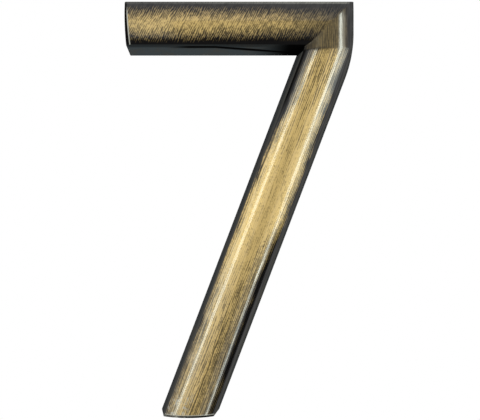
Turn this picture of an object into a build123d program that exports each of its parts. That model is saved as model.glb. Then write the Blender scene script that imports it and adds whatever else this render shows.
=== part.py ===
from build123d import *
import os
from math import cos, radians, sin, tan

# House number seven: one solid brass casting with a crowned face, drafted side walls,
# a mitred corner and a flat back with two blind tapped holes for concealed studs.
# Frame: +Z up, +X to the right as read, the face looks along -Y and the back lies on Y = 0.
# Origin: the mouth of the upper stud hole, where the centre lines of bar and drop cross.
# Lengths in millimetres, angles in degrees.

# Overall sizes of the figure, measured on its back
height = 120.65
width = 66.9
projection = 11.1

# Strokes: the bar, and a stem that leans after a short upright drop at the corner
bar_stroke = 15.1
stem_stroke = 16.0
stem_lean = 20.87
corner_drop = 6.3

# Section: a round crown, wider than the strokes, whose arc ends on walls with draft
crown_radius = 12.2
crown_half_angle = 45.0
wall_draft = 8.0

# Outline details and the rounding of the face at both ends
corner_radius = 1.4
bend_radius = 38.0
bar_end_slant = 1.8
end_edge_radius = 0.75

# Blind stud holes in the back, drilled and tapped 8-32
tap_drill = 3.45
thread_major = 4.17
hole_depth = 7.0
drill_point_angle = 118.0
stud_spacing = 98.0

# Length by which the rails overrun the figure before they are trimmed
overrun = 20.0

# Places that follow from the sizes
bar_top = bar_stroke / 2
bar_bottom = -bar_stroke / 2
foot_level = bar_top - height
drop_side = stem_stroke / 2
bar_end = drop_side - width
end_shift = bar_stroke / 2 * tan(radians(bar_end_slant))
lean_slope = tan(radians(stem_lean))
stem_side = drop_side / cos(radians(stem_lean))
bend_level = -corner_drop - (stem_side - drop_side) / lean_slope


def stem_centre(level):
    """X of the stem's centre line at a height."""
    return (level + corner_drop) * lean_slope


def seam(x, z, tilt):
    """Plane square to the back through (x, z) that rises at `tilt` above +X and faces upward."""
    return Plane(
        origin=(x, 0, z),
        x_dir=(cos(radians(tilt)), 0, sin(radians(tilt))),
        z_dir=(-sin(radians(tilt)), 0, cos(radians(tilt))),
    )


# Each seam halves the angle between two centre lines, so that equal crowns meet along it
corner_seam = seam(0, 0, 45)
bend_seam = seam(0, -corner_drop, -stem_lean / 2)
inner_seam = seam(stem_centre(0), 0, (90 - stem_lean) / 2)

# Section of the crowned rail: X runs across the stroke, Y from the back to the front
with BuildSketch() as rail_section:
    with BuildLine():
        crown = CenterArc(
            (0, projection - crown_radius), crown_radius, 90 - crown_half_angle, 2 * crown_half_angle
        )
        flank = (crown @ 0).X
        Polyline(crown @ 1, (-flank, 0), (flank, 0), crown @ 0)
    make_face()

# Crowned rail of the bar, down to its seams with the drop and the stem
with BuildPart() as bar_rail:
    with BuildSketch(Plane(origin=(bar_end - overrun, 0, 0), x_dir=(0, 0, 1), z_dir=(1, 0, 0))):
        add(rail_section.sketch)
    extrude(amount=width + 2 * overrun)
    split(bisect_by=corner_seam, keep=Keep.TOP)
    split(bisect_by=inner_seam, keep=Keep.TOP)

# Crowned rail of the upright drop at the corner
with BuildPart() as drop_rail:
    with BuildSketch(Plane(origin=(0, 0, bar_top + overrun), x_dir=(1, 0, 0), z_dir=(0, 0, -1))):
        add(rail_section.sketch)
    extrude(amount=bar_stroke + corner_drop + 2 * overrun)
    split(bisect_by=corner_seam, keep=Keep.BOTTOM)
    split(bisect_by=bend_seam, keep=Keep.TOP)

# Crowned rail of the leaning stem
stem_down = Vector(-sin(radians(stem_lean)), 0, -cos(radians(stem_lean)))
stem_across = Vector(cos(radians(stem_lean)), 0, -sin(radians(stem_lean)))
stem_start = Vector(0, 0, -corner_drop) - stem_down * (bar_stroke + overrun)
with BuildPart() as stem_rail:
    with BuildSketch(Plane(origin=stem_start, x_dir=stem_across, z_dir=stem_down)):
        add(rail_section.sketch)
    extrude(amount=height / cos(radians(stem_lean)) + bar_stroke + 2 * overrun)
    split(bisect_by=bend_seam, keep=Keep.BOTTOM)
    split(bisect_by=inner_seam, keep=Keep.BOTTOM)

# The three rails meet in valleys on the inside of each turn and in hips on the outside
with BuildPart() as rails:
    add(bar_rail.part)
    add(drop_rail.part)
    add(stem_rail.part)

# Tapped stud hole: drilled blind along -Y, its mouth countersunk to the thread's outside
drill_point = tap_drill / 2 / tan(radians(drill_point_angle / 2))
mouth_depth = (thread_major - tap_drill) / 2
with BuildPart() as stud_hole:
    with BuildSketch():
        with BuildLine():
            Polyline(
                (0, 0),
                (thread_major / 2, 0),
                (tap_drill / 2, -mouth_depth),
                (tap_drill / 2, -hole_depth),
                (0, -hole_depth - drill_point),
                close=True,
            )
        make_face()
    revolve(axis=Axis.Y)

# The figure: its outline raised, its walls drafted and its face cut down to the crowned rails
with BuildPart() as numeral:
    with BuildSketch(Plane.XZ) as outline:
        with BuildLine():
            Polyline(
                (bar_end - end_shift, bar_top),
                (drop_side, bar_top),
                (drop_side, bend_level),
                (stem_centre(foot_level) + stem_side, foot_level),
                (stem_centre(foot_level) - stem_side, foot_level),
                (stem_centre(bar_bottom) - stem_side, bar_bottom),
                (bar_end + end_shift, bar_bottom),
                close=True,
            )
        make_face()
        fillet(outline.vertices().sort_by_distance((drop_side, bend_level))[0], bend_radius)
        fillet(outline.vertices().sort_by_distance((drop_side, bar_top))[0], corner_radius)
    extrude(amount=projection)
    end_faces = [numeral.faces().sort_by(Axis.X)[0], numeral.faces().sort_by(Axis.Z)[0]]
    walls = numeral.faces() - numeral.faces().filter_by(Axis.Y) - end_faces
    draft(walls, Plane.XZ, wall_draft)
    add(rails.part, mode=Mode.INTERSECT)

    # Crown's edges at the bar's end and at the foot, rounded over: those clear of the back
    for end_axis in (Axis.X, Axis.Z):
        end_edges = numeral.faces().sort_by(end_axis)[0].edges()
        crown_edges = end_edges.filter_by(lambda edge: edge.bounding_box().max.Y < -end_edge_radius)
        fillet(crown_edges, end_edge_radius)

    # Stud holes on the stem's line: one under the corner, one above the foot
    with Locations((0, 0, 0), (stem_centre(-stud_spacing), 0, -stud_spacing)):
        add(stud_hole.part, mode=Mode.SUBTRACT)

numeral.part.label = "numeral"

os.makedirs("parts", exist_ok=True)
export_step(numeral.part, "parts/numeral.step")
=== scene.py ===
"""Studio scene for the house number seven: its casting, its finishes, the lamps and the camera.

Lengths are in metres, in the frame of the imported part: +Z up, +X to the right as the figure
is read, the crowned face towards -Y and the flat back on Y = 0. The origin is the mouth of
the upper stud hole, where the centre lines of the bar and the upright drop cross. Only the
finishes and the sizes of the lamps count in millimetres.
"""

import logging
import math
from collections.abc import Callable
from dataclasses import dataclass, field
from enum import Enum
from functools import cached_property, partial, reduce
from typing import Any, Optional, Union

import bmesh
import bpy
import numpy as np
from mathutils import Matrix, Vector


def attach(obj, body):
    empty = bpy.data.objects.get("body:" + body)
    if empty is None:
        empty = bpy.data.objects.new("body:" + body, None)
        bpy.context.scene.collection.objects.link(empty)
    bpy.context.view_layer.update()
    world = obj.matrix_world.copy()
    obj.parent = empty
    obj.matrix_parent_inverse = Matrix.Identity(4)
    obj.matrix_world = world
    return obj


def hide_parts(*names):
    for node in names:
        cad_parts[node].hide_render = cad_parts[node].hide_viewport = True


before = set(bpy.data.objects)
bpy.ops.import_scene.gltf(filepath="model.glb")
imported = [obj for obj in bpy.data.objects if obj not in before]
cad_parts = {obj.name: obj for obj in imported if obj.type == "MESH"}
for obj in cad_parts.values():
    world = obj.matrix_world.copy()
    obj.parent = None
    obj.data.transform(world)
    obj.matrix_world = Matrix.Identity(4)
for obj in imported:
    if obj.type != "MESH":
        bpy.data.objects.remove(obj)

log = logging.getLogger("house_number")

Array = np.ndarray
Point = tuple[float, float]
Span = tuple[float, float]
Colour = tuple[float, float, float]
Ray = tuple[Point, Point]
Socket = bpy.types.NodeSocket
Value = Union[float, Socket]

MM = 0.001


class Region(Enum):
    """Faces of the casting that are finished in different ways."""

    CROWN = 0
    WALL = 1
    BACK = 2
    THREAD = 3


@dataclass(frozen=True)
class FigureForm:
    """Sizes of the figure, and the height of its face over the plan (x, z) of its back.

    A plan is an array of such points, and a method that takes one gives one value for each.
    """

    height: float = 120.65 * MM
    width: float = 66.9 * MM
    projection: float = 11.1 * MM
    bar_stroke: float = 15.1 * MM
    stem_stroke: float = 16.0 * MM
    stem_lean: float = math.radians(20.87)
    corner_drop: float = 6.3 * MM
    crown_radius: float = 12.2 * MM
    wall_draft: float = math.radians(8.0)
    corner_radius: float = 1.4 * MM
    bend_radius: float = 38.0 * MM
    bar_end_slant: float = math.radians(1.8)
    end_edge_radius: float = 0.75 * MM
    end_corner_radius: float = 0.25 * MM
    seam_softness: float = 0.12 * MM

    @property
    def bar_side(self) -> float:
        """Half the bar's stroke."""
        return self.bar_stroke / 2

    @property
    def stem_side(self) -> float:
        """Half the stem's stroke, which is also half the drop's."""
        return self.stem_stroke / 2

    @property
    def bar_end(self) -> float:
        """X of the bar's end on its centre line."""
        return self.stem_side - self.width

    @property
    def foot_level(self) -> float:
        """Z of the foot."""
        return self.bar_side - self.height

    @property
    def slope(self) -> float:
        """Sideways run of the stem for each unit of its rise."""
        return math.tan(self.stem_lean)

    @property
    def across_stem(self) -> Vector:
        """Unit vector square to the stem, to its right."""
        return Vector((math.cos(self.stem_lean), 0.0, -math.sin(self.stem_lean)))

    def stem_centre(self, level: Any) -> Any:
        """X of the stem's centre line at a height, or at each of an array of heights."""
        return (level + self.corner_drop) * self.slope

    def stem_edge(self, level: float, side: int) -> float:
        """X of the stem's straight edge on the back at a height, on the left (-1) or right (1)."""
        return self.stem_centre(level) + side * self.stem_side / math.cos(self.stem_lean)

    def from_stem(self, plan: Array) -> Array:
        """Signed distance from the stem's centre line, positive to the right."""
        return (plan[..., 0] - self.stem_centre(plan[..., 1])) * math.cos(self.stem_lean)

    def soft_maximum(self, first: Array, second: Array) -> Array:
        """Greater of two distances, rounded where they are nearly equal."""
        return (first + second + np.hypot(first - second, self.seam_softness)) / 2

    def outward(self, plan: Array) -> Array:
        """Signed distance from the bent centre line, positive on the outside of its turns.

        The mitres come with it: hips where it is positive, valleys where it is negative.
        """
        turned = self.soft_maximum(plan[..., 0], plan[..., 1])
        return self.soft_maximum(turned, self.from_stem(plan))

    def from_ends(self, plan: Array) -> Array:
        """Distance from the bar's end or from the foot, whichever is nearer."""
        x, z = plan[..., 0], plan[..., 1]
        slant = self.bar_end_slant
        from_bar_end = (x - self.bar_end) * math.cos(slant) + z * math.sin(slant)
        return np.minimum(from_bar_end, z - self.foot_level)

    def rolled_off(self, plan: Array, radius: float) -> Array:
        """Depth that a rounded edge at the bar's end or the foot takes off the surface."""
        gap = np.clip(self.from_ends(plan), 0.0, radius)
        return radius - np.sqrt(radius**2 - (radius - gap) ** 2)

    def inside(self, plan: Array) -> Array:
        """Distance from the long sides of the outline of the back, positive inside it.

        Args:
            plan: points (x, z).

        Returns:
            One distance for each point.
        """
        x, z = plan[..., 0], plan[..., 1]
        right = np.minimum(self.stem_side - x, self.stem_side - self.from_stem(plan))
        bend_x = self.stem_side - self.bend_radius
        beyond = (self.bend_radius - self.stem_side) / math.cos(self.stem_lean)
        bend_z = (bend_x + beyond) / self.slope - self.corner_drop
        bearing = np.arctan2(z - bend_z, x - bend_x)
        in_bend = (bearing < 0) & (bearing > -self.stem_lean)
        right = np.where(in_bend, self.bend_radius - np.hypot(x - bend_x, z - bend_z), right)
        outer = np.minimum(self.bar_side - z, right)
        corner_x = x - self.stem_side + self.corner_radius
        corner_z = z - self.bar_side + self.corner_radius
        in_corner = (corner_x > 0) & (corner_z > 0)
        outer = np.where(in_corner, self.corner_radius - np.hypot(corner_x, corner_z), outer)
        inner = np.maximum(self.bar_side + z, self.stem_side + self.from_stem(plan))
        return np.minimum(outer, inner) - self.rolled_off(plan, self.end_corner_radius)

    def crown_height(self, plan: Array) -> Array:
        """Height of the crown above the back."""
        radius = self.crown_radius - self.rolled_off(plan, self.end_edge_radius)
        rise = np.sqrt(np.maximum(radius**2 - self.outward(plan) ** 2, 0.0))
        return self.projection - self.crown_radius + rise

    def wall_height(self, plan: Array) -> Array:
        """Height at which the drafted wall stands over each point of the plan."""
        return self.inside(plan) / math.tan(self.wall_draft)


@dataclass(frozen=True)
class StudHole:
    """Blind hole in the back, tapped for a stud, with a countersunk mouth."""

    tap_drill: float = 3.45 * MM
    thread_major: float = 4.17 * MM
    thread_pitch: float = 25.4 / 32 * MM
    depth: float = 7.0 * MM
    tapped_depth: float = 6.0 * MM
    point_angle: float = math.radians(118.0)
    flank_gain: float = 1.3
    crest_flat: float = 0.15
    divisions: int = 48
    rows_per_pitch: int = 10

    def wall_radius(self, turn: Array, deep: Array) -> Array:
        """Radius of the threaded wall: flats on the crests and in the roots, 60 degree flanks.

        Args:
            turn: angle round the hole, as a share of a full turn.
            deep: depth below the mouth.

        Returns:
            One radius for each pair.
        """
        drill = self.tap_drill / 2
        groove = self.thread_major / 2 - drill
        phase = np.abs(2 * np.mod(deep / self.thread_pitch - turn, 1.0) - 1)
        cut = np.clip(self.flank_gain * phase - self.crest_flat, 0.0, 1.0)
        run_out = np.clip((self.tapped_depth - deep) / self.thread_pitch, 0.0, 1.0)
        return np.maximum(drill + groove * cut * run_out, self.thread_major / 2 - deep)

    def columns(self, x: float, z: float) -> Array:
        """Columns of points down the hole, from its mouth to its pointed bottom.

        Args:
            x: place of its axis.
            z: place of its axis.

        Returns:
            Points by angle and by depth.
        """
        rows = math.ceil(self.depth / self.thread_pitch * self.rows_per_pitch)
        turn = (np.arange(self.divisions) / self.divisions)[:, None]
        deep = np.linspace(0.0, self.depth, rows + 1)[None, :]
        radius = self.wall_radius(turn, deep)
        tip = self.depth + self.tap_drill / 2 / math.tan(self.point_angle / 2)
        radius = np.hstack([radius, np.zeros_like(turn)])
        deep = np.hstack([deep, [[tip]]]) * np.ones_like(turn)
        angle = 2 * math.pi * turn
        return np.stack([x + radius * np.cos(angle), -deep, z + radius * np.sin(angle)], axis=-1)


class ShaderTree:
    """Adds nodes to one node tree and links them."""

    def __init__(self, tree: bpy.types.NodeTree) -> None:
        """Empties the tree and starts from there."""
        tree.nodes.clear()
        self.tree = tree

    def add(self, kind: str, **settings: Any) -> bpy.types.Node:
        """Adds a node of one of Blender's kinds, with its properties by name."""
        node = self.tree.nodes.new(kind)
        for name, value in settings.items():
            setattr(node, name, value)
        return node

    def feed(self, target: Socket, value: Any) -> None:
        """Links a socket to an input, or sets the input's own value."""
        if isinstance(value, bpy.types.NodeSocket):
            self.tree.links.new(value, target)
        else:
            target.default_value = value

    def fill(self, node: bpy.types.Node, inputs: dict[Union[str, int], Any]) -> None:
        """Links or sets inputs of a node, by name or by number."""
        for name, value in inputs.items():
            self.feed(node.inputs[name], value)

    def math(self, operation: str, *values: Value, clamp: bool = False) -> Socket:
        """Result of a Math node, which clamping keeps between 0 and 1."""
        node = self.add("ShaderNodeMath", operation=operation, use_clamp=clamp)
        self.fill(node, dict(enumerate(values)))
        return node.outputs[0]

    def product(self, *values: Value) -> Socket:
        """Product of all values."""
        return reduce(partial(self.math, "MULTIPLY"), values)

    def greatest(self, *values: Value) -> Socket:
        """Greatest of all values."""
        return reduce(partial(self.math, "MAXIMUM"), values)

    def rest(self, share: Value) -> Socket:
        """What a share leaves of 1."""
        return self.math("SUBTRACT", 1.0, share)

    def sway(self, value: Value, noise: Value, amount: Value) -> Socket:
        """Value moved up or down by a noise between 0 and 1, by up to half the amount."""
        return self.math("MULTIPLY_ADD", self.math("SUBTRACT", noise, 0.5), amount, value)

    def gauge(self, operation: str, place: Socket, fixed: Any) -> Socket:
        """Number that a vector operation gives for a place and a fixed vector."""
        node = self.add("ShaderNodeVectorMath", operation=operation)
        self.fill(node, {0: place, 1: tuple(fixed)})
        return node.outputs["Value"]

    def millimetres(self) -> Socket:
        """Place of the shaded point in the frame of the part, in millimetres."""
        node = self.add("ShaderNodeVectorMath", operation="SCALE")
        place = self.add("ShaderNodeTexCoord").outputs["Object"]
        self.fill(node, {"Vector": place, "Scale": 1 / MM})
        return node.outputs["Vector"]

    def split(self, vector: Socket) -> list[Socket]:
        """The three parts of a vector."""
        node = self.add("ShaderNodeSeparateXYZ")
        self.feed(node.inputs[0], vector)
        return list(node.outputs)

    def combine(self, x: Value, y: Value, z: Value) -> Socket:
        """Vector made of three values."""
        node = self.add("ShaderNodeCombineXYZ")
        self.fill(node, {"X": x, "Y": y, "Z": z})
        return node.outputs[0]

    def step(self, value: Value, low: float, high: float) -> Socket:
        """Soft step: 0 at the low value and 1 at the high one, which may also be the lesser."""
        node = self.add("ShaderNodeMapRange", interpolation_type="SMOOTHSTEP")
        falls = high < low
        low, high = min(low, high), max(low, high)
        self.fill(node, {"Value": value, "From Min": low, "From Max": high})
        self.fill(node, {"To Min": float(falls), "To Max": float(not falls)})
        return node.outputs["Result"]

    def noise(self, vector: Socket, scale: float, detail: float = 2.0, weight: float = 0.5) -> Socket:
        """Noise between 0 and 1; the detail is its number of finer octaves, of that weight."""
        node = self.add("ShaderNodeTexNoise", noise_dimensions="3D")
        self.fill(node, {"Vector": vector, "Scale": scale, "Detail": detail, "Roughness": weight})
        return node.outputs["Fac"]

    def blend(self, factor: Value, first: Value, second: Value) -> Socket:
        """Value between two others: the first at 0, the second at 1."""
        node = self.add("ShaderNodeMix", data_type="FLOAT")
        self.fill(node, {0: factor, 2: first, 3: second})
        return node.outputs[0]

    def mix(self, factor: Value, first: Any, second: Any) -> Socket:
        """Colour between two colours or their sockets: the first at 0, the second at 1."""
        node = self.add("ShaderNodeMix", data_type="RGBA")
        self.feed(node.inputs["Factor"], factor)
        for target, value in zip((node.inputs[6], node.inputs[7]), (first, second)):
            self.feed(target, value if isinstance(value, bpy.types.NodeSocket) else (*value, 1.0))
        return node.outputs[2]

    def relief(self, shader: bpy.types.Node, height: Socket, depth: float, strength: float) -> None:
        """Gives a shader a bumpy normal, from a height of about 0 to 1 and the depth in metres."""
        bump = self.add("ShaderNodeBump")
        self.fill(bump, {"Distance": depth, "Strength": strength, "Height": height})
        self.feed(shader.inputs["Normal"], bump.outputs["Normal"])

    def surface(self, shader: bpy.types.Node, end: str = "ShaderNodeOutputMaterial") -> None:
        """Ends the tree of a material, or of another kind, with its shader."""
        self.feed(self.add(end).inputs["Surface"], shader.outputs[0])


@dataclass(frozen=True)
class Zone:
    """Soft-edged zone of a finish.

    Every edge is a pair of places in millimetres: where the mask is 0, and where it is full.
    """

    x: tuple[Span, ...] = ()
    y: tuple[Span, ...] = ()
    z: tuple[Span, ...] = ()
    side: tuple[Span, ...] = ()
    strength: float = 1.0


@dataclass(frozen=True)
class Course:
    """Value that eases to another over each of some stretches, and holds between them.

    Every change has where it starts and ends, in millimetres, and the value that it leads to.
    """

    first: float
    changes: tuple[tuple[float, float, float], ...] = ()


class FinishTree(ShaderTree):
    """Nodes of a finish, which know where the shaded point lies on the figure, in millimetres."""

    def __init__(self, made: bpy.types.Material, form: FigureForm) -> None:
        """Starts the tree of a new material for a figure of this form."""
        made.use_nodes = True
        super().__init__(made.node_tree)
        self.form = form
        self.place = self.millimetres()
        self.x, self.y, self.z = self.split(self.place)

    @cached_property
    def side(self) -> Socket:
        """Distance to the right of the ridge of the drop or of the stem."""
        drop_offset = self.form.corner_drop / MM * math.sin(self.form.stem_lean)
        along = self.gauge("DOT_PRODUCT", self.place, self.form.across_stem)
        return self.math("MAXIMUM", self.x, self.math("SUBTRACT", along, drop_offset))

    def mask(self, zone: Zone) -> Socket:
        """Mask of a zone."""
        edges = [
            self.step(getattr(self, axis), *span)
            for axis in ("x", "y", "z", "side")
            for span in getattr(zone, axis)
        ]
        return self.product(*edges, zone.strength)

    def along(self, course: Course, place: Socket) -> Value:
        """Value of a course at a place."""
        value: Value = course.first
        for start, end, after in course.changes:
            value = self.blend(self.step(place, start, end), value, after)
        return value


@dataclass(frozen=True)
class Brushing:
    """One pass of a hand-held brush.

    The pitch and the length of its lines are in millimetres, and their lean to the right of +Z
    is in radians. The rest says how far streaks, bands and grain make the rubbing vary.
    """

    pitch: float
    length: float
    lean: float = 0.0
    streaks: Course = Course(0.0)
    banding: float = 0.0
    graininess: float = 0.0


@dataclass(frozen=True)
class BrushLines:
    """Marks of a hand-held brush: even lines with noise between them, bands and patches."""

    regularity: float = 0.30
    wander: float = 3.0
    band_scale: float = 0.22
    patch_scale: float = 0.16
    patch_detail: float = 4.0
    grain_scale: float = 1.6
    fine_weight: float = 0.6
    spread: Span = (0.30, 0.70)

    def group(self) -> bpy.types.NodeTree:
        """Node group of the marks, built once.

        It takes the pitch and the length of the lines in millimetres and their lean to the right
        of +Z in radians. It puts out the lines, the broader bands between them, cloudy patches
        and a fine grain, each about between 0 and 1.

        Returns:
            The node group.
        """
        made = bpy.data.node_groups.get("brush_lines")
        if made:
            return made
        made = bpy.data.node_groups.new("brush_lines", "ShaderNodeTree")
        for name in ("Pitch", "Length", "Lean"):
            made.interface.new_socket(name, in_out="INPUT", socket_type="NodeSocketFloat")
        for name in ("Lines", "Bands", "Patches", "Grain"):
            made.interface.new_socket(name, in_out="OUTPUT", socket_type="NodeSocketFloat")
        tree = ShaderTree(made)
        entry = tree.add("NodeGroupInput")
        place = tree.millimetres()
        x, y, z = tree.split(place)
        sine, cosine = (tree.math(name, entry.outputs["Lean"]) for name in ("SINE", "COSINE"))
        across = tree.math("SUBTRACT", tree.product(x, cosine), tree.product(z, sine))
        along = tree.math("ADD", tree.product(x, sine), tree.product(z, cosine))
        crosswise = tree.math("DIVIDE", across, entry.outputs["Pitch"])
        lengthwise = tree.math("DIVIDE", along, entry.outputs["Length"])
        inward = tree.math("DIVIDE", y, entry.outputs["Length"])
        drawn = tree.combine(crosswise, inward, lengthwise)
        bands = tree.noise(drawn, self.band_scale)
        phase = tree.math("MULTIPLY_ADD", bands, self.wander, crosswise)
        even = tree.math("SINE", tree.product(phase, 2 * math.pi))
        uneven = tree.noise(drawn, 1.0, weight=self.fine_weight)
        marks = {
            "Lines": tree.math("MULTIPLY_ADD", even, self.regularity / 2, uneven),
            "Bands": bands,
            "Patches": tree.noise(place, self.patch_scale, self.patch_detail, self.fine_weight),
            "Grain": tree.noise(place, self.grain_scale, detail=1.0),
        }
        tree.fill(tree.add("NodeGroupOutput"), marks)
        return made

    def marks(self, tree: FinishTree, brushing: Brushing) -> list[Socket]:
        """Lines, bands, patches and grain of one brushing, spread over the range from 0 to 1."""
        group = tree.add("ShaderNodeGroup", node_tree=self.group())
        tree.fill(group, {"Pitch": brushing.pitch, "Length": brushing.length, "Lean": brushing.lean})
        return [tree.step(output, *self.spread) for output in group.outputs]

    def worked(self, tree: FinishTree, brushing: Brushing, place: Socket) -> tuple[Socket, ...]:
        """What one brushing does to the rubbing of a rail.

        Args:
            tree: the material's nodes.
            brushing: the brushing.
            place: where the point lies along the rail.

        Returns:
            The factor on how far the rail is rubbed, the lines and the patches.
        """
        lines, bands, patches, grain = self.marks(tree, brushing)
        factor = tree.product(
            tree.sway(1.0, lines, tree.along(brushing.streaks, place)),
            tree.sway(1.0, bands, brushing.banding),
            tree.sway(1.0, grain, brushing.graininess),
        )
        return factor, lines, patches


@dataclass(frozen=True)
class Finish:
    """Finish of some of the figure's faces."""

    name: str
    form: FigureForm = FigureForm()
    brush: BrushLines = BrushLines()

    def shade(self, tree: FinishTree, surface: bpy.types.Node) -> None:
        """Feeds the inputs of the finish's shader."""
        raise NotImplementedError

    def material(self) -> bpy.types.Material:
        """Builds the finish as a new material."""
        made = bpy.data.materials.new(self.name)
        tree = FinishTree(made, self.form)
        surface = tree.add("ShaderNodeBsdfPrincipled")
        self.shade(tree, surface)
        tree.surface(surface)
        return made


@dataclass(frozen=True)
class RelievedBrass(Finish):
    """Brushed brass that was blackened, rubbed bright on its crown and lacquered.

    How far it is rubbed falls to 0 at a limit on each side of the ridge, over a width that is
    called the fall. Places and widths are in millimetres. A pair named edge is where a mask is 0
    and where it is full. Any other pair is the value without a mark and with all of it.
    """

    name: str = "relieved_brass"

    # Colours and gloss.
    bright: Colour = (0.494, 0.348, 0.131)
    black: Colour = (0.005, 0.0045, 0.0045)
    haze: Colour = (0.30, 0.27, 0.23)
    # Pale colour of the painted sheen and highlights, and of the worn specks on the foot.
    sheen_and_wear_colour: Colour = (0.42, 0.41, 0.36)
    metal_edge: Span = (0.0, 0.12)
    roughness: Span = (0.40, 0.52)
    anisotropy: float = 0.4
    lacquer_gloss: Span = (0.61, 1.07)
    lacquer_index: float = 1.6
    lacquer_roughness: float = 0.08
    line_depth: float = 0.03 * MM
    line_strength: float = 0.25

    # Bar.
    bar_brushing: Brushing = Brushing(
        pitch=0.54,
        length=1.3,
        lean=math.radians(27.0),
        streaks=Course(0.72),
        banding=0.20,
        graininess=0.52,
    )
    bar_rubbed: Course = Course(
        0.590, ((-59.0, -50.0, 0.793), (-40.0, -18.0, 0.634), (-18.0, 0.0, 0.216))
    )
    bar_seam_edge: Span = (-0.3, 0.3)
    bar_middle: float = -0.25
    bar_limit: Course = Course(4.5, ((-45.0, 0.0, 3.9),))
    bar_fall: float = 3.7
    bar_ragged_by_lines: float = -1.9
    bar_ragged_by_patches: float = 0.5
    # Painted shade: the lacquer's gloss is taken off the bar's lower side, so that it shows black.
    low_bar_shade: Zone = Zone(z=((-3.6, -5.0),))
    low_bar_gloss: float = 0.05
    # Painted highlight along the bar's rounded top edge, brighter towards the corner.
    painted_top_highlight: Zone = Zone(x=((6.5, 4.0),), z=((5.35, 5.75),))
    painted_top_highlight_rise: Course = Course(0.08, ((-58.0, 8.0, 0.40),))

    # Upright drop, and the level crease below it, with painted shade in the crease, in the valley and
    # in the stem's inner corner.
    drop_brushing: Brushing = Brushing(
        pitch=0.50, length=3.0, streaks=Course(1.05), banding=0.30, graininess=0.30
    )
    drop_rubbed: Course = Course(0.0855, ((4.5, -2.0, 0.171),))
    drop_face: Zone = Zone(side=((5.4, 3.4),))
    # Painted sheen: a silvery reflection down the drop's right flank.
    painted_drop_sheen: Zone = Zone(side=((1.9, 2.9), (4.7, 2.7)), strength=0.55)
    below_crease: Zone = Zone(z=((-7.2, -7.8),))
    # Painted shade: darker along the crease.
    crease: Zone = Zone(z=((-8.4, -7.5), (-6.6, -7.5)), side=((2.5, -4.5),), strength=0.8)
    triangle: Zone = Zone(z=((-7.9, -7.1),), side=((2.8, 1.6),))
    triangle_haze: float = 0.08
    # Gloss taken off above the crease, so that the lamp's highlight stops there: painted shade.
    triangle_gloss: float = 0.10
    # Painted shade in the valley at the left, and in the stem's inner corner under the bar.
    valley: Zone = Zone(z=((-7.9, -7.1),), side=((-1.8, -5.4),), strength=0.75)
    inner_corner_shade: Zone = Zone(z=((-30.0, -20.0),), side=((-5.2, -6.3),))

    # Stem.
    stem_brushing: Brushing = Brushing(
        pitch=0.52,
        length=6.0,
        lean=FigureForm.stem_lean,
        streaks=Course(1.25, ((-24.0, -46.0, 0.62), (-58.0, -85.0, 1.10))),
        banding=0.14,
        graininess=0.58,
    )
    stem_rubbed: Course = Course(
        0.393, ((-7.5, -13.0, 0.786), (-14.0, -32.0, 1.083), (-66.0, -90.0, 0.910))
    )
    stem_ragged_by_lines: float = 1.0
    stem_ragged_by_patches: float = 0.8
    left_limit: Course = Course(5.4, ((-17.0, -50.0, 7.0),))
    left_fall: Course = Course(2.8, ((-17.0, -45.0, 2.2), (-66.0, -90.0, 4.6)))
    right_limit: Course = Course(
        5.3, ((-14.0, -42.0, 6.0), (-48.0, -80.0, 5.0), (-98.0, -106.0, 5.5))
    )
    right_fall: Course = Course(2.6, ((-54.0, -78.0, 7.6),))
    upper_haze: Zone = Zone(z=((-38.0, -20.0),), side=((-3.4, -4.4), (-5.7, -4.2)))
    upper_haze_amount: Span = (0.2, 0.4)
    lower_haze: Zone = Zone(z=((-58.0, -92.0),), side=((-1.0, -4.5),))
    lower_haze_amount: Span = (0.2, 0.6)
    # Painted sheen: the silvery reflection goes on down the stem's right flank.
    painted_stem_sheen: Zone = Zone(side=((2.2, 3.6), (6.2, 3.3)), strength=0.38)
    above_bend: Zone = Zone(z=((-9.5, -6.5),))
    painted_sheen_reach: Zone = Zone(z=((-58.0, -16.0), (4.0, 1.5)))
    painted_sheen_by_lines: Span = (0.7, 1.2)

    # Painted shade on the rims at the ends, painted highlight lines on the rounded end edges, the
    # foot's specks (partly wear, partly painted highlight) and pits.
    bar_end_rim: float = 0.95
    bar_end_rim_slope: float = 0.07
    foot_rim: float = 0.85
    rim_edge: Span = (0.1, -0.2)
    # Painted highlight line on each rounded end edge.
    painted_edge_highlight_span: Span = (0.24, 0.05)
    painted_edge_highlight: Zone = Zone(z=((5.0, 2.5),))
    painted_edge_highlight_amount: Course = Course(0.55, ((-30.0, 0.0, 0.85),))
    # The foot's pale specks: partly wear, partly a painted highlight beside the lamp's.
    speckle: Zone = Zone(z=((-104.0, -109.5),), side=((1.0, -3.0),), strength=0.6)
    speckle_scale: float = 0.9
    speckle_edge: Span = (0.50, 0.64)
    pits: tuple[Point, ...] = (
        (-29.3, -75.0), (-14.8, -53.0), (-18.8, -62.6), (-19.3, -64.0), (-28.9, -80.4)
    )
    pit_edge: Span = (0.28, 0.08)
    pit_strength: float = 0.75

    def bar_rub(self, tree: FinishTree) -> tuple[Socket, Socket]:
        """How far the bar is rubbed: most near its free end, less and browner at the corner.

        Args:
            tree: the material's nodes.

        Returns:
            How far it is rubbed, and the brush's lines.
        """
        factor, lines, patches = self.brush.worked(tree, self.bar_brushing, tree.x)
        away = tree.math("ABSOLUTE", tree.math("SUBTRACT", tree.z, self.bar_middle))
        away = tree.sway(away, lines, self.bar_ragged_by_lines)
        away = tree.sway(away, patches, self.bar_ragged_by_patches)
        inside = tree.math("SUBTRACT", tree.along(self.bar_limit, tree.x), away)
        fading = tree.math("DIVIDE", inside, self.bar_fall, clamp=True)
        return tree.product(fading, tree.along(self.bar_rubbed, tree.x), factor), lines

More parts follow.
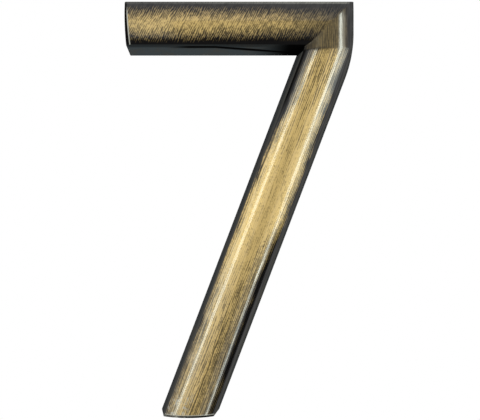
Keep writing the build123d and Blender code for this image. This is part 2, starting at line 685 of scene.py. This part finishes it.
    def drop_rub(self, tree: FinishTree) -> tuple[Socket, Socket]:
        """How far the upright drop is rubbed, which is little, and the brush's lines on it."""
        factor, lines, _ = self.brush.worked(tree, self.drop_brushing, tree.z)
        rubbed = tree.product(tree.mask(self.drop_face), tree.along(self.drop_rubbed, tree.z), factor)
        return rubbed, lines

    def stem_rub(self, tree: FinishTree) -> tuple[Socket, Socket, Socket]:
        """How far the stem is rubbed: less and less on the right towards the foot.

        Args:
            tree: the material's nodes.

        Returns:
            How far it is rubbed, the brush's lines, and the haze on its left flank.
        """
        factor, lines, patches = self.brush.worked(tree, self.stem_brushing, tree.z)
        ragged = tree.sway(0.0, lines, self.stem_ragged_by_lines)
        ragged = tree.sway(ragged, patches, self.stem_ragged_by_patches)
        left = tree.math("ADD", tree.along(self.left_limit, tree.z), tree.side)
        right = tree.math("SUBTRACT", tree.along(self.right_limit, tree.z), tree.side)
        left, right = (
            tree.math("DIVIDE", tree.math("ADD", inside, ragged), tree.along(fall, tree.z), clamp=True)
            for inside, fall in ((left, self.left_fall), (right, self.right_fall))
        )
        rubbed = tree.product(left, right, tree.along(self.stem_rubbed, tree.z), factor)
        upper = tree.product(tree.mask(self.upper_haze), tree.blend(lines, *self.upper_haze_amount))
        lower = tree.product(
            tree.mask(self.lower_haze), tree.blend(patches, *self.lower_haze_amount), left
        )
        return rubbed, lines, tree.greatest(upper, lower)

    def painted_end_rims(self, tree: FinishTree) -> tuple[Socket, Socket]:
        """Painted shade as black rims round the bar's end and the foot, and a painted highlight line
        where each begins.

        Args:
            tree: the material's nodes.

        Returns:
            The masks of the painted rim shade and of the painted highlight lines.
        """
        rim_side = tree.math("MULTIPLY_ADD", tree.z, self.bar_end_rim_slope, tree.x)
        from_bar_rim = tree.math("SUBTRACT", rim_side, self.form.bar_end / MM + self.bar_end_rim)
        from_foot_rim = tree.math("SUBTRACT", tree.z, self.form.foot_level / MM + self.foot_rim)
        away = tree.math("MINIMUM", from_bar_rim, from_foot_rim)
        # Painted highlight line on each rounded end edge.
        worn = tree.product(
            tree.step(tree.math("ABSOLUTE", away), *self.painted_edge_highlight_span),
            tree.mask(self.painted_edge_highlight),
            tree.along(self.painted_edge_highlight_amount, tree.z),
        )
        # Painted shade on the rims, then the painted highlight lines.
        return tree.step(away, *self.rim_edge), worn

    def pitted(self, tree: FinishTree) -> Socket:
        """Mask of the dark casting pits."""
        plan = tree.combine(tree.x, 0.0, tree.z)
        away = [tree.gauge("DISTANCE", plan, (x, 0.0, z)) for x, z in self.pits]
        masks = [tree.step(distance, *self.pit_edge) for distance in away]
        return tree.product(tree.greatest(*masks), self.pit_strength)

    def painted_sheen_and_wear(self, tree: FinishTree, on_bar: Socket, lines: Socket) -> Socket:
        """Painted sheen on the right flank, a painted highlight on the bar's top edge, and the foot's
        specks, partly wear and partly painted highlight.

        Args:
            tree: the material's nodes.
            on_bar: mask of the bar.
            lines: the brush's lines.

        Returns:
            How far the painted sheen, the painted highlight and the specks cover the surface.
        """
        # Painted sheen on the right flank of the drop and of the stem.
        flank = tree.blend(
            tree.mask(self.above_bend), tree.mask(self.painted_stem_sheen), tree.mask(self.painted_drop_sheen)
        )
        flank = tree.product(flank, tree.mask(self.painted_sheen_reach), tree.rest(on_bar))
        # Painted highlight along the bar's top edge.
        top = tree.product(tree.mask(self.painted_top_highlight), tree.along(self.painted_top_highlight_rise, tree.x), on_bar)
        sheen = tree.product(tree.greatest(flank, top), tree.blend(lines, *self.painted_sheen_by_lines))
        # Pale specks on the foot: partly wear, partly a painted highlight.
        specks = tree.step(tree.noise(tree.place, self.speckle_scale), *self.speckle_edge)
        return tree.greatest(sheen, tree.product(specks, tree.mask(self.speckle)))

    def shade(self, tree: FinishTree, surface: bpy.types.Node) -> None:
        """Feeds the inputs of the finish's shader."""
        on_bar = tree.step(tree.math("SUBTRACT", tree.z, tree.side), *self.bar_seam_edge)
        off_bar = tree.rest(on_bar)
        below_crease = tree.mask(self.below_crease)
        bar, bar_lines = self.bar_rub(tree)
        drop, drop_lines = self.drop_rub(tree)
        stem, stem_lines, haze = self.stem_rub(tree)
        rubbed = tree.blend(on_bar, tree.blend(below_crease, drop, stem), bar)
        lines = tree.blend(on_bar, tree.blend(below_crease, drop_lines, stem_lines), bar_lines)

        # Painted shade on the end rims, and painted highlight lines where they begin.
        painted_rim_shade, painted_edge_highlight = self.painted_end_rims(tree)
        # Painted shade in the crease, the valley and the inner corner, and on the end rims; the pits
        # are real.
        corner_zones = (self.crease, self.valley, self.inner_corner_shade)
        painted_corner_shade = tree.greatest(*(tree.mask(zone) for zone in corner_zones))
        dark = tree.greatest(tree.product(painted_corner_shade, off_bar), painted_rim_shade, self.pitted(tree))
        shaded = tree.rest(dark)
        rubbed = tree.product(rubbed, shaded)
        in_triangle = tree.product(tree.mask(self.triangle), off_bar)
        # Painted shade on the bar's lower side.
        low_bar_shade = tree.product(tree.mask(self.low_bar_shade), on_bar)
        hazy = tree.greatest(
            tree.product(haze, off_bar, below_crease), tree.product(in_triangle, self.triangle_haze)
        )
        # Painted sheen and highlights, and the foot's worn specks.
        painted_sheen_and_wear = tree.greatest(self.painted_sheen_and_wear(tree, on_bar, lines), painted_edge_highlight)

        metal = tree.mix(rubbed, self.black, self.bright)
        clear = tree.rest(tree.greatest(hazy, painted_sheen_and_wear))
        glossy = tree.product(
            tree.blend(lines, *self.lacquer_gloss),
            shaded,
            tree.blend(in_triangle, 1.0, self.triangle_gloss),
            tree.blend(low_bar_shade, 1.0, self.low_bar_gloss),
        )
        inputs = {
            "Base Color": tree.mix(painted_sheen_and_wear, tree.mix(hazy, metal, self.haze), self.sheen_and_wear_colour),
            "Metallic": tree.product(tree.step(rubbed, *self.metal_edge), clear),
            "Roughness": tree.blend(lines, *self.roughness),
            "Specular IOR Level": 0.0,
            "Anisotropic": self.anisotropy,
            "Tangent": tree.combine(*self.form.across_stem),
            "Coat Weight": glossy,
            "Coat Roughness": self.lacquer_roughness,
            "Coat IOR": self.lacquer_index,
        }
        tree.fill(surface, inputs)
        tree.relief(surface, lines, self.line_depth, self.line_strength)


@dataclass(frozen=True)
class BlackenedWall(Finish):
    """Walls and ends as the blackening left them: matt, a little cloudy, without gloss.

    Having no gloss, the walls' dark grey stands partly for a painted reflection of the white
    surroundings. Under the bar the wall is greener, a painted reflection, with a painted dark
    reflection as a black line that comes nearer to the face away from the corner. Places are in
    millimetres, and pairs are as in the relieved brass.
    """

    name: str = "blackened_wall"
    brushing: Brushing = Brushing(pitch=0.5, length=2.5)
    # Dark grey, partly a painted reflection of the white surroundings, as the walls have no gloss.
    black: Colour = (0.036, 0.038, 0.039)
    by_face: Colour = (0.062, 0.060, 0.055)
    by_face_edge: Span = (-4.0, -9.0)
    worn: Colour = (0.070, 0.062, 0.050)
    worn_share: float = 0.5
    worn_edge: Span = (0.3, 1.1)
    worn_by_lines: float = 0.5
    roughness: Span = (0.35, 0.65)
    cloud_depth: float = 0.03 * MM
    cloud_strength: float = 0.5
    line_share: float = 0.4

    # Painted reflections on the wall under the bar: a greener grey, and black in a line, near the face
    # and near the corner.
    reflection_under_bar: Colour = (0.052, 0.062, 0.066)
    painted_dark_reflection: Colour = (0.002, 0.002, 0.002)
    bar_wall: Zone = Zone(x=((2.0, 0.0),), y=((0.0, -0.3),), z=((-8.2, -7.8), (-5.0, -5.6)))
    line_turn: float = -33.0
    line_slope: float = 0.225
    line_offset: float = -0.3
    line_edge: Span = (1.5, 0.5)
    line_reach: Zone = Zone(x=((-50.0, -40.0),))
    near_face: Zone = Zone(y=((-6.5, -8.6),), strength=0.6)
    near_corner: Zone = Zone(x=((-24.0, -11.0),))

    def deep(self, tree: FinishTree) -> Socket:
        """Mask of the painted dark reflection on the bar's lower wall: a line, the face's edge and the
        corner.
        """
        level = tree.math("MAXIMUM", tree.x, self.line_turn)
        level = tree.math("MULTIPLY_ADD", level, self.line_slope, self.line_offset)
        away = tree.math("ABSOLUTE", tree.math("SUBTRACT", tree.y, level))
        line = tree.product(tree.step(away, *self.line_edge), tree.mask(self.line_reach))
        return tree.greatest(line, tree.mask(self.near_corner), tree.mask(self.near_face))

    def shade(self, tree: FinishTree, surface: bpy.types.Node) -> None:
        """Feeds the inputs of the finish's shader."""
        lines, _, patches, _ = self.brush.marks(tree, self.brushing)
        worn = tree.step(tree.sway(patches, lines, self.worn_by_lines), *self.worn_edge)
        worn = tree.product(worn, self.worn_share)
        # Painted reflections under the bar.
        reflection_under_bar = tree.mask(self.bar_wall)
        black = tree.mix(tree.step(tree.y, *self.by_face_edge), self.black, self.by_face)
        black = tree.mix(worn, tree.mix(reflection_under_bar, black, self.reflection_under_bar), self.worn)
        black = tree.mix(tree.product(reflection_under_bar, self.deep(tree)), black, self.painted_dark_reflection)
        roughness = tree.blend(patches, *self.roughness)
        tree.fill(surface, {"Base Color": black, "Roughness": roughness, "Specular IOR Level": 0.0})
        clouds = tree.math("MULTIPLY_ADD", lines, self.line_share, patches)
        tree.relief(surface, clouds, self.cloud_depth, self.cloud_strength)


@dataclass(frozen=True)
class CutBrass(Finish):
    """Bare brass in the tapped holes."""

    name: str = "cut_brass"
    colour: Colour = (0.62, 0.45, 0.20)
    dull: Colour = (0.34, 0.23, 0.10)
    cloud_scale: float = 0.9
    cloud_detail: float = 3.0
    roughness: Span = (0.2, 0.5)

    def shade(self, tree: FinishTree, surface: bpy.types.Node) -> None:
        """Feeds the inputs of the finish's shader."""
        clouds = tree.noise(tree.place, self.cloud_scale, self.cloud_detail)
        colour = tree.mix(clouds, self.colour, self.dull)
        roughness = tree.blend(clouds, *self.roughness)
        tree.fill(surface, {"Base Color": colour, "Metallic": 1.0, "Roughness": roughness})


@dataclass
class CastFigure:
    """The brass figure seven as one closed mesh, from rays that run from its ridge to its outline."""

    form: FigureForm = FigureForm()
    hole: StudHole = StudHole()
    stud_spacing: float = 98.0 * MM
    step: float = 0.7 * MM
    crown_samples: int = 28
    wall_samples: int = 6
    edge_softness: float = 0.14 * MM
    edge_samples: int = 3
    weld_gap: float = 0.002 * MM
    sharp_from: float = math.radians(40.0)
    halvings: int = 48
    ray_reach: float = 1.0 + 1e-9
    probe: float = 1e-4
    rounding_rays: int = 10
    near_rays: int = 6
    fan_rays: int = 15
    outer_fan_rays: int = 30
    points: list[Array] = field(default_factory=list)
    faces: list[tuple[int, ...]] = field(default_factory=list)
    regions: list[int] = field(default_factory=list)
    count: int = 0

    def grid(self, points: Array, regions: list[Region], closed: bool = False) -> None:
        """Adds a grid of quads.

        Args:
            points: places by row and column.
            regions: the region of each gap between two columns.
            closed: whether the last row joins the first.
        """
        rows, columns = points.shape[:2]
        for row in range(rows if closed else rows - 1):
            here = self.count + row * columns
            there = self.count + (row + 1) % rows * columns
            for column, region in enumerate(regions):
                near, far = here + column, there + column
                self.faces.append((near, near + 1, far + 1, far))
                self.regions.append(region.value)
        self.points.append(points.reshape(-1, 3))
        self.count += rows * columns

    def root(self, rays: tuple[Array, Array], reach: Array, excess: Callable[[Array], Array]) -> Array:
        """Where a quantity falls to zero along each ray, found by halving.

        Args:
            rays: start and end of each ray.
            reach: the share of each ray that is searched.
            excess: the quantity, positive at the ray's start.

        Returns:
            The share of each ray.
        """
        start, end = rays
        low, high = np.zeros_like(reach), reach.copy()
        for _ in range(self.halvings):
            middle = (low + high) / 2
            positive = excess(start + middle[:, None] * (end - start)) > 0
            low, high = np.where(positive, middle, low), np.where(positive, high, middle)
        return (low + high) / 2

    def lift(self, plan: Array, height: Array) -> Array:
        """Points at a height above the back over the plan."""
        return np.stack([plan[..., 0], -height, plan[..., 1]], axis=-1)

    def band(self, ridge: Array, outline: Array) -> None:
        """Adds the face and the wall along a row of rays.

        Args:
            ridge: the inner end of each ray.
            outline: a point on or past the outline for each ray.
        """
        form, rays = self.form, (ridge, outline)
        out = self.root(rays, np.full(len(ridge), self.ray_reach), form.inside)
        edge = self.root(rays, out, lambda plan: form.wall_height(plan) - form.crown_height(plan))

        def at(share: Array) -> Array:
            """Plan points at shares of each ray."""
            return ridge[:, None] + share[..., None] * (outline - ridge)[:, None]

        def slant(height: Callable[[Array], Array]) -> Array:
            """Distance over the surface for each unit of a ray's share, at the edge of the crown."""
            near = at(np.stack([edge - self.probe, edge], axis=1))
            rise = np.diff(self.lift(near, height(near)), axis=1)[:, 0]
            return np.linalg.norm(rise, axis=-1) / self.probe

        corner = at(edge[:, None])
        corner = self.lift(corner, form.crown_height(corner))
        before = edge - self.edge_softness / slant(form.crown_height)
        after = edge + self.edge_softness / slant(form.wall_height)
        crown_plan = at(before[:, None] * np.linspace(0.0, 1.0, self.crown_samples)[None])
        crown = self.lift(crown_plan, form.crown_height(crown_plan))
        shares = np.linspace(0.0, 1.0, self.wall_samples)[None]
        wall_plan = at(after[:, None] * (1 - shares) + out[:, None] * shares)
        height = form.wall_height(wall_plan)
        height[:, -1] = 0.0
        wall = self.lift(wall_plan, height)
        bend = (np.arange(1, self.edge_samples + 1) / (self.edge_samples + 1))[None, :, None]
        last, first = crown[:, -1:], wall[:, :1]
        rounded = (1 - bend) ** 2 * last + 2 * bend * (1 - bend) * corner + bend**2 * first
        columns = np.concatenate([crown, rounded, wall], axis=1)
        wall_gaps = self.edge_samples + self.wall_samples
        self.grid(columns, [Region.CROWN] * (self.crown_samples - 1) + [Region.WALL] * wall_gaps)

    def sweep(self, first: Ray, *stretches: tuple[Array, Ray]) -> None:
        """Adds bands between rays given one by one.

        Args:
            first: ridge point and outline point of the first ray.
            stretches: where the rays up to the next given one stand, from 0 to 1, and that one.
        """
        for shares, last in stretches:
            share = shares[:, None]
            ridge, outline = (
                np.array(near)[None] * (1 - share) + np.array(far)[None] * share
                for near, far in zip(first, last)
            )
            self.band(ridge, outline)
            first = last

    def spread(self, length: float) -> Array:
        """Even shares from 0 to 1 whose steps are about the mesh's own."""
        return np.linspace(0.0, 1.0, max(2, round(length / self.step) + 1))

    def bar_ray(self, share: float, side: int) -> Ray:
        """Ray across the bar, at a share of its length from the free end, up (1) or down (-1)."""
        form = self.form
        x = form.bar_end * (1 - share)
        shift = form.bar_side * math.tan(form.bar_end_slant) * (1 - share)
        return (x, 0.0), (x - side * shift, side * form.bar_side)

    def stem_ray(self, level: float, side: int) -> Ray:
        """Level ray across the stem, to its left (-1) or right (1) edge."""
        return (self.form.stem_centre(level), level), (self.form.stem_edge(level, side), level)

    def face_and_walls(self) -> None:
        """Adds the crown and the walls on both sides of the ridge."""
        form = self.form
        side, bar, drop_end = form.stem_side, form.bar_side, (0.0, -form.corner_drop)
        steep, flat = math.sin(form.stem_lean), math.cos(form.stem_lean)
        inner_x = form.stem_edge(-bar, -1)
        corner, crease_foot = (inner_x, -bar), (form.stem_edge(-side, -1), -side)
        seams_meet = (form.corner_drop * steep / (flat - steep - 1),) * 2
        bend_level = -form.corner_drop - side * (1 / flat - 1) / form.slope
        join = bend_level - 2 * form.end_edge_radius
        end_share = form.end_edge_radius / -form.bar_end
        foot_edge = form.foot_level + form.end_edge_radius
        rounding = 1 - np.cos(np.linspace(0.0, math.pi / 2, self.rounding_rays))
        bar_run, corner_run = self.spread(inner_x - form.bar_end), self.spread(-inner_x)
        drop_run, stem_run = self.spread(form.corner_drop), self.spread(join - form.foot_level)
        ray_counts = (self.fan_rays, self.outer_fan_rays, self.near_rays)
        fan, outer_fan, near = (np.linspace(0.0, 1.0, rays) for rays in ray_counts)
        origin = (0.0, 0.0)
        top, right = (origin, (0.0, bar)), (origin, (side, 0.0))
        bar_top, bar_bottom = (
            (self.bar_ray(0.0, edge), (rounding, self.bar_ray(end_share, edge))) for edge in (1, -1)
        )
        over_inner, under_inner = self.bar_ray(1 - inner_x / form.bar_end, 1), ((inner_x, 0.0), corner)

        self.sweep(*bar_top, (bar_run, over_inner), (corner_run, top))
        self.sweep(top, (outer_fan, (origin, (side, bar))), (outer_fan, right))
        self.sweep(
            right,
            (drop_run, (drop_end, (side, drop_end[1]))),
            (near, (drop_end, (side, bend_level))),
            (near, self.stem_ray(join, 1)),
        )
        self.sweep(*bar_bottom, (bar_run, under_inner))
        self.sweep(
            under_inner,
            (corner_run, (origin, corner)),
            (fan, (seams_meet, corner)),
            (np.array([0.0, 1.0]), (seams_meet, crease_foot)),
            (fan, (drop_end, crease_foot)),
            (near, self.stem_ray(join, -1)),
        )
        for edge in (1, -1):
            last = self.stem_ray(foot_edge, edge)
            self.sweep(self.stem_ray(join, edge), (stem_run, last))
            self.sweep(self.stem_ray(form.foot_level, edge), (rounding, last))
        upper = np.array(seams_meet)[None] * fan[:, None]
        lower = np.array(drop_end)[None] * (1 - fan[:, None]) + upper
        shares = drop_run[None, :, None]
        wedge = upper[:, None] * (1 - shares) + lower[:, None] * shares
        self.grid(self.lift(wedge, form.crown_height(wedge)), [Region.CROWN] * (len(drop_run) - 1))

    def stud_holes(self) -> None:
        """Adds both tapped holes."""
        for x, z in ((0.0, 0.0), (self.form.stem_centre(-self.stud_spacing), -self.stud_spacing)):
            columns = self.hole.columns(x, z)
            self.grid(columns, [Region.THREAD] * (columns.shape[1] - 1), closed=True)

    def close(self, shape: bmesh.types.BMesh) -> None:
        """Welds the bands, closes the bar's end and the foot, and fills the back.

        Args:
            shape: the mesh to close.
        """
        bmesh.ops.remove_doubles(shape, verts=shape.verts, dist=self.weld_gap)
        open_edges = [edge for edge in shape.edges if edge.is_boundary]
        profile = [
            edge for edge in open_edges if min(vert.co.y for vert in edge.verts) < -self.weld_gap
        ]
        middle = self.form.foot_level / 2
        for upper in (True, False):
            edges = [edge for edge in profile if (edge.verts[0].co.z > middle) == upper]
            corners = [vert for edge in edges for vert in edge.verts if vert.co.y > -self.weld_gap]
            end = bmesh.ops.contextual_create(shape, geom=[*edges, shape.edges.new(corners)])
            for face in end["faces"]:
                face.material_index = Region.WALL.value
        open_edges = [edge for edge in shape.edges if edge.is_boundary]
        back = bmesh.ops.triangle_fill(shape, use_beauty=True, edges=open_edges)
        for item in back["geom"]:
            if isinstance(item, bmesh.types.BMFace):
                item.material_index = Region.BACK.value
        bmesh.ops.recalc_face_normals(shape, faces=shape.faces)

    def build(self) -> None:
        """Builds the figure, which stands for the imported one, and dresses it."""
        self.face_and_walls()
        self.stud_holes()
        mesh = bpy.data.meshes.new("cast_seven")
        mesh.from_pydata(np.vstack(self.points).tolist(), [], self.faces)
        mesh.polygons.foreach_set("material_index", self.regions)
        shape = bmesh.new()
        shape.from_mesh(mesh)
        self.close(shape)
        loose = sum(not edge.is_manifold for edge in shape.edges)
        shape.to_mesh(mesh)
        shape.free()
        mesh.shade_smooth()
        mesh.set_sharp_from_angle(angle=self.sharp_from)
        for finish in (
            RelievedBrass(form=self.form),
            BlackenedWall(form=self.form),
            BlackenedWall("blackened_back", self.form, worn=(0.16, 0.12, 0.07), worn_share=0.8),
            CutBrass(form=self.form),
        ):
            mesh.materials.append(finish.material())
        figure = bpy.data.objects.new("cast_seven", mesh)
        bpy.context.scene.collection.objects.link(figure)
        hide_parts("numeral")
        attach(figure, "root")
        log.info("%s: %d faces, %d open or doubled edges", figure.name, len(mesh.polygons), loose)


def direction(azimuth: float, elevation: float) -> Vector:
    """Unit vector from angles in degrees: turned from -Y towards +X by one, raised by the other."""
    turn, rise = math.radians(azimuth), math.radians(elevation)
    return Vector((math.sin(turn) * math.cos(rise), -math.cos(turn) * math.cos(rise), math.sin(rise)))


def dress_stage(item: bpy.types.Object, name: str, kind: str, inputs: dict[str, Any]) -> None:
    """Gives a thing of the studio a plain material.

    Args:
        item: the thing.
        name: the material's name.
        kind: Blender's name of the shader's node.
        inputs: the shader's inputs, by name.
    """
    made = bpy.data.materials.new(name)
    made.use_nodes = True
    tree = ShaderTree(made.node_tree)
    surface = tree.add(kind)
    tree.fill(surface, inputs)
    tree.surface(surface)
    item.data.materials.append(made)


@dataclass(frozen=True)
class StripLamp:
    """Tall narrow lamp, placed by its direction from the middle of the figure.

    Angles are in degrees, and the width and the height in millimetres.
    """

    name: str
    azimuth: float
    elevation: float
    lean: float
    width: float
    height: float
    radiance: float
    distance: float = 600.0 * MM
    colour: Colour = (0.92, 1.0, 0.92)

    def build(self, middle: Vector) -> None:
        """Sets the lamp up, unseen by the camera.

        Args:
            middle: the point that it faces.
        """
        light = bpy.data.lights.new(self.name, "AREA")
        light.shape = "RECTANGLE"
        light.size = self.width * MM
        light.size_y = self.height * MM
        light.color = self.colour
        light.energy = self.radiance * math.pi * light.size * light.size_y
        lamp = bpy.data.objects.new(self.name, light)
        toward = direction(self.azimuth, self.elevation)
        lamp.location = middle + toward * self.distance
        upright = toward.to_track_quat("Z", "Y").to_matrix()
        leaning = upright @ Matrix.Rotation(math.radians(self.lean), 3, "Z")
        lamp.rotation_euler = leaning.to_euler()
        lamp.visible_camera = False
        bpy.context.scene.collection.objects.link(lamp)
        log.info("%s: lamp", self.name)


@dataclass(frozen=True)
class Card:
    """Dark card that only the metal's gloss sees, to darken its flanks.

    Its offset is from the middle of the figure, which it faces unless another way is given. Its
    grey is how bright it looks, where 1 is white.
    """

    name: str
    offset: Vector
    width: float
    height: float
    grey: float
    facing: Optional[Vector] = None

    def build(self, middle: Vector) -> None:
        """Sets the card up, unseen by the camera.

        Args:
            middle: the point that it is placed from.
        """
        bpy.ops.mesh.primitive_plane_add(size=1.0)
        card = bpy.context.object
        card.name = self.name
        card.scale = (self.width, self.height, 1.0)
        card.location = middle + self.offset
        card.rotation_euler = (self.facing or -self.offset).to_track_quat("Z", "Y").to_euler()
        card.visible_camera = card.visible_diffuse = card.visible_shadow = False
        dress_stage(card, self.name, "ShaderNodeEmission", {"Strength": self.grey})
        log.info("%s: card", self.name)


@dataclass
class Studio:
    """White surroundings, a pale floor below the figure, strip lamps, dark cards and the camera."""

    camera_place: Vector = Vector((-25.9 * MM, -250.0 * MM, -53.6 * MM))
    view_width: float = 143.2 * MM
    sensor_width: float = 36.0 * MM
    surroundings: Colour = (1.0, 1.0, 1.0)
    fill: Colour = (0.75, 0.76, 0.78)
    floor_colour: Colour = (0.82, 0.82, 0.81)
    floor_level: float = -330.0 * MM
    floor_radius: float = 300.0 * MM
    floor_sides: int = 96
    floor_roughness: float = 0.9
    near_clip: float = 10.0 * MM
    lamps: tuple[StripLamp, ...] = (
        StripLamp("left_strip", -32.2, 9.0, lean=-27.0, width=82.0, height=470.0, radiance=6.0),
        StripLamp("left_panel", -44.0, 16.0, lean=-27.0, width=120.0, height=300.0, radiance=1.5),
        StripLamp("right_strip", 37.0, 0.0, lean=3.5, width=78.0, height=400.0, radiance=6.4),
        StripLamp("right_strip_low", 37.5, -29.0, lean=3.5, width=56.0, height=250.0, radiance=6.2),
        StripLamp("right_panel", 50.0, -4.0, lean=0.0, width=140.0, height=260.0, radiance=2.0),
    )
    cards: tuple[Card, ...] = (
        Card("right_card", direction(52.0, -25.0) * 0.75, width=0.15, height=0.50, grey=0.0),
        Card(
            "camera_card",
            Vector((0.02, -0.33, -0.03)),
            width=0.13,
            height=0.36,
            grey=0.3,
            facing=Vector((0.0, 1.0, 0.0)),
        ),
    )

    @property
    def middle(self) -> Vector:
        """Point of the figure's back that the camera faces."""
        return Vector((self.camera_place.x, 0.0, self.camera_place.z))

    def world(self) -> None:
        """White as seen, mirrored or through glass, and a softer fill for everything else."""
        made = bpy.data.worlds.new("surroundings")
        made.use_nodes = True
        bpy.context.scene.world = made
        tree = ShaderTree(made.node_tree)
        path = tree.add("ShaderNodeLightPath")
        rays = ("Is Camera Ray", "Is Glossy Ray", "Is Transmission Ray")
        seen = tree.greatest(*(path.outputs[ray] for ray in rays))
        background = tree.add("ShaderNodeBackground")
        tree.feed(background.inputs["Color"], tree.mix(seen, self.fill, self.surroundings))
        tree.surface(background, "ShaderNodeOutputWorld")

    def floor(self) -> None:
        """Round pale floor below the figure."""
        bpy.ops.mesh.primitive_circle_add(
            vertices=self.floor_sides,
            radius=self.floor_radius,
            fill_type="NGON",
            location=(self.camera_place.x, 0.0, self.floor_level),
        )
        floor = bpy.context.object
        floor.name = "floor"
        colour = (*self.floor_colour, 1.0)
        inputs = {"Base Color": colour, "Roughness": self.floor_roughness}
        dress_stage(floor, "pale_floor", "ShaderNodeBsdfPrincipled", inputs)
        log.info("floor: %d sides", self.floor_sides)

    def camera(self) -> None:
        """Camera square to the face, close enough to show the walls on both sides."""
        data = bpy.data.cameras.new("camera")
        data.sensor_fit = "HORIZONTAL"
        data.sensor_width = self.sensor_width / MM
        data.lens = data.sensor_width * -self.camera_place.y / self.view_width
        data.clip_start = self.near_clip
        camera = bpy.data.objects.new("camera", data)
        camera.location = self.camera_place
        camera.rotation_euler = (math.radians(90.0), 0.0, 0.0)
        bpy.context.scene.collection.objects.link(camera)
        bpy.context.scene.camera = camera

    def build(self) -> None:
        """Sets up everything around the figure."""
        bpy.context.scene.view_settings.view_transform = "Standard"
        self.world()
        self.floor()
        for item in (*self.lamps, *self.cards):
            item.build(self.middle)
        self.camera()


def corners(box: tuple[Vector, Vector]) -> list[list[float]]:
    """Lowest and highest corner of a box as plain lists."""
    return [[float(value) for value in corner] for corner in box]


def main() -> None:
    """Builds the studio and the figure."""
    logging.basicConfig(level=logging.INFO, format="%(name)s: %(message)s")
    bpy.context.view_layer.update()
    Studio().build()
    log.info("studio set up")
    CastFigure().build()


if __name__ == "__main__":
    main()
